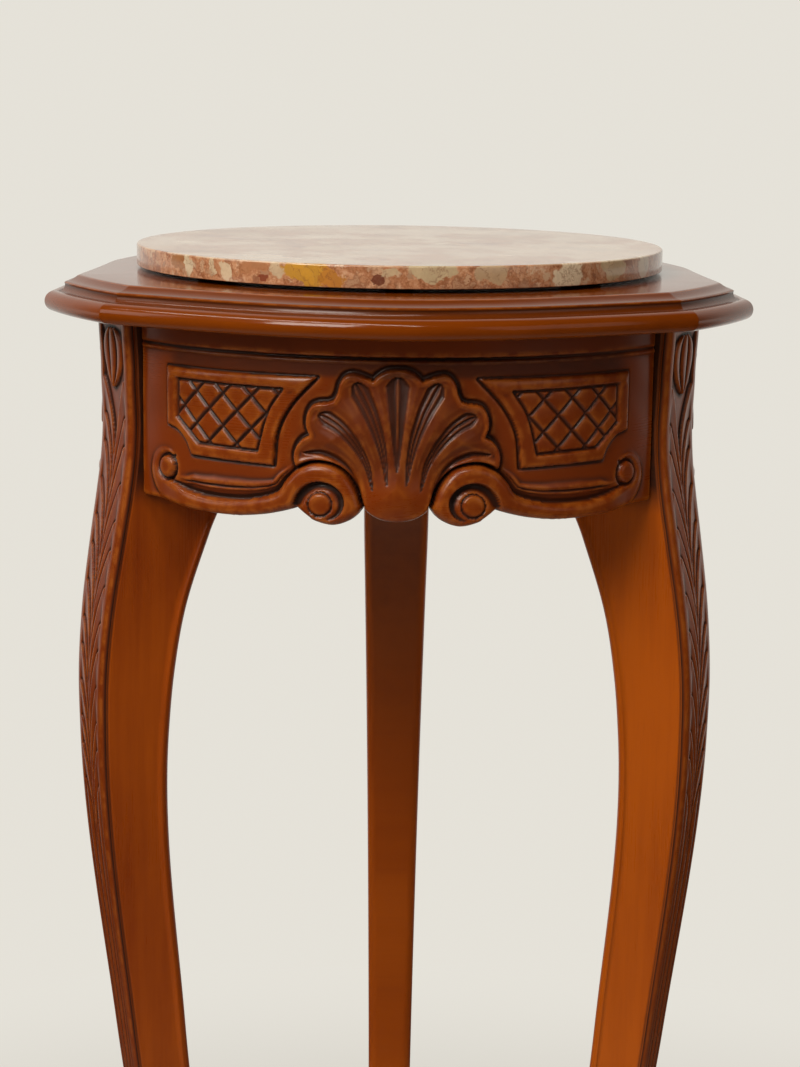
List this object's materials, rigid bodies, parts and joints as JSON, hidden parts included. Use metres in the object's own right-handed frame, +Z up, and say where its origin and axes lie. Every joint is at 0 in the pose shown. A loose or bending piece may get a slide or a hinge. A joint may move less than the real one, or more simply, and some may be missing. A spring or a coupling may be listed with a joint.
{
  "type": "tripod pedestal stand",
  "caption": "Tripod pedestal stand with carved cabriole legs, bowed shell-carved aprons, a moulded wooden top and a loose marble disc that lifts off.",
  "frame": {"origin": "on the floor, on the stand's upright axis of threefold symmetry", "axes": "+Z up; the front apron faces -Y and the back leg stands towards +Y"},
  "size_m": [0.3224, 0.337, 0.78],
  "materials": {
    "marble": "polished pink-beige breccia",
    "polished_wood": "stained and polished satin-gloss",
    "carved_wood": "stained, carved, darkened in the recesses",
    "plain_wood": "bare beech",
    "zinc_steel": "zinc plated",
    "pad": "matt",
    "glide": "matt"
  },
  "bodies": {
    "stand": {"apron_back_left": "carved_wood", "apron_back_right": "carved_wood", "apron_dowels": "plain_wood", "apron_front": "carved_wood", "bolt_nuts": "zinc_steel", "bolt_washers": "zinc_steel", "brace_screws": "zinc_steel", "corner_brace_back": "plain_wood", "corner_brace_front_left": "plain_wood", "corner_brace_front_right": "plain_wood", "foot_glide_back": "glide", "foot_glide_front_left": "glide", "foot_glide_front_right": "glide", "hanger_bolts": "zinc_steel", "leg_back": "carved_wood", "leg_front_left": "carved_wood", "leg_front_right": "carved_wood", "marble_pads": "pad", "moulded_top": "polished_wood", "top_screws": "zinc_steel"},
    "marble": {"marble_top": "marble"}
  },
  "joints": [
    {"name": "marble_lift", "type": "slide", "parent": "stand", "child": "marble", "axis": [0, 0, 1], "range_m": [0, 0.06]}
  ]
}
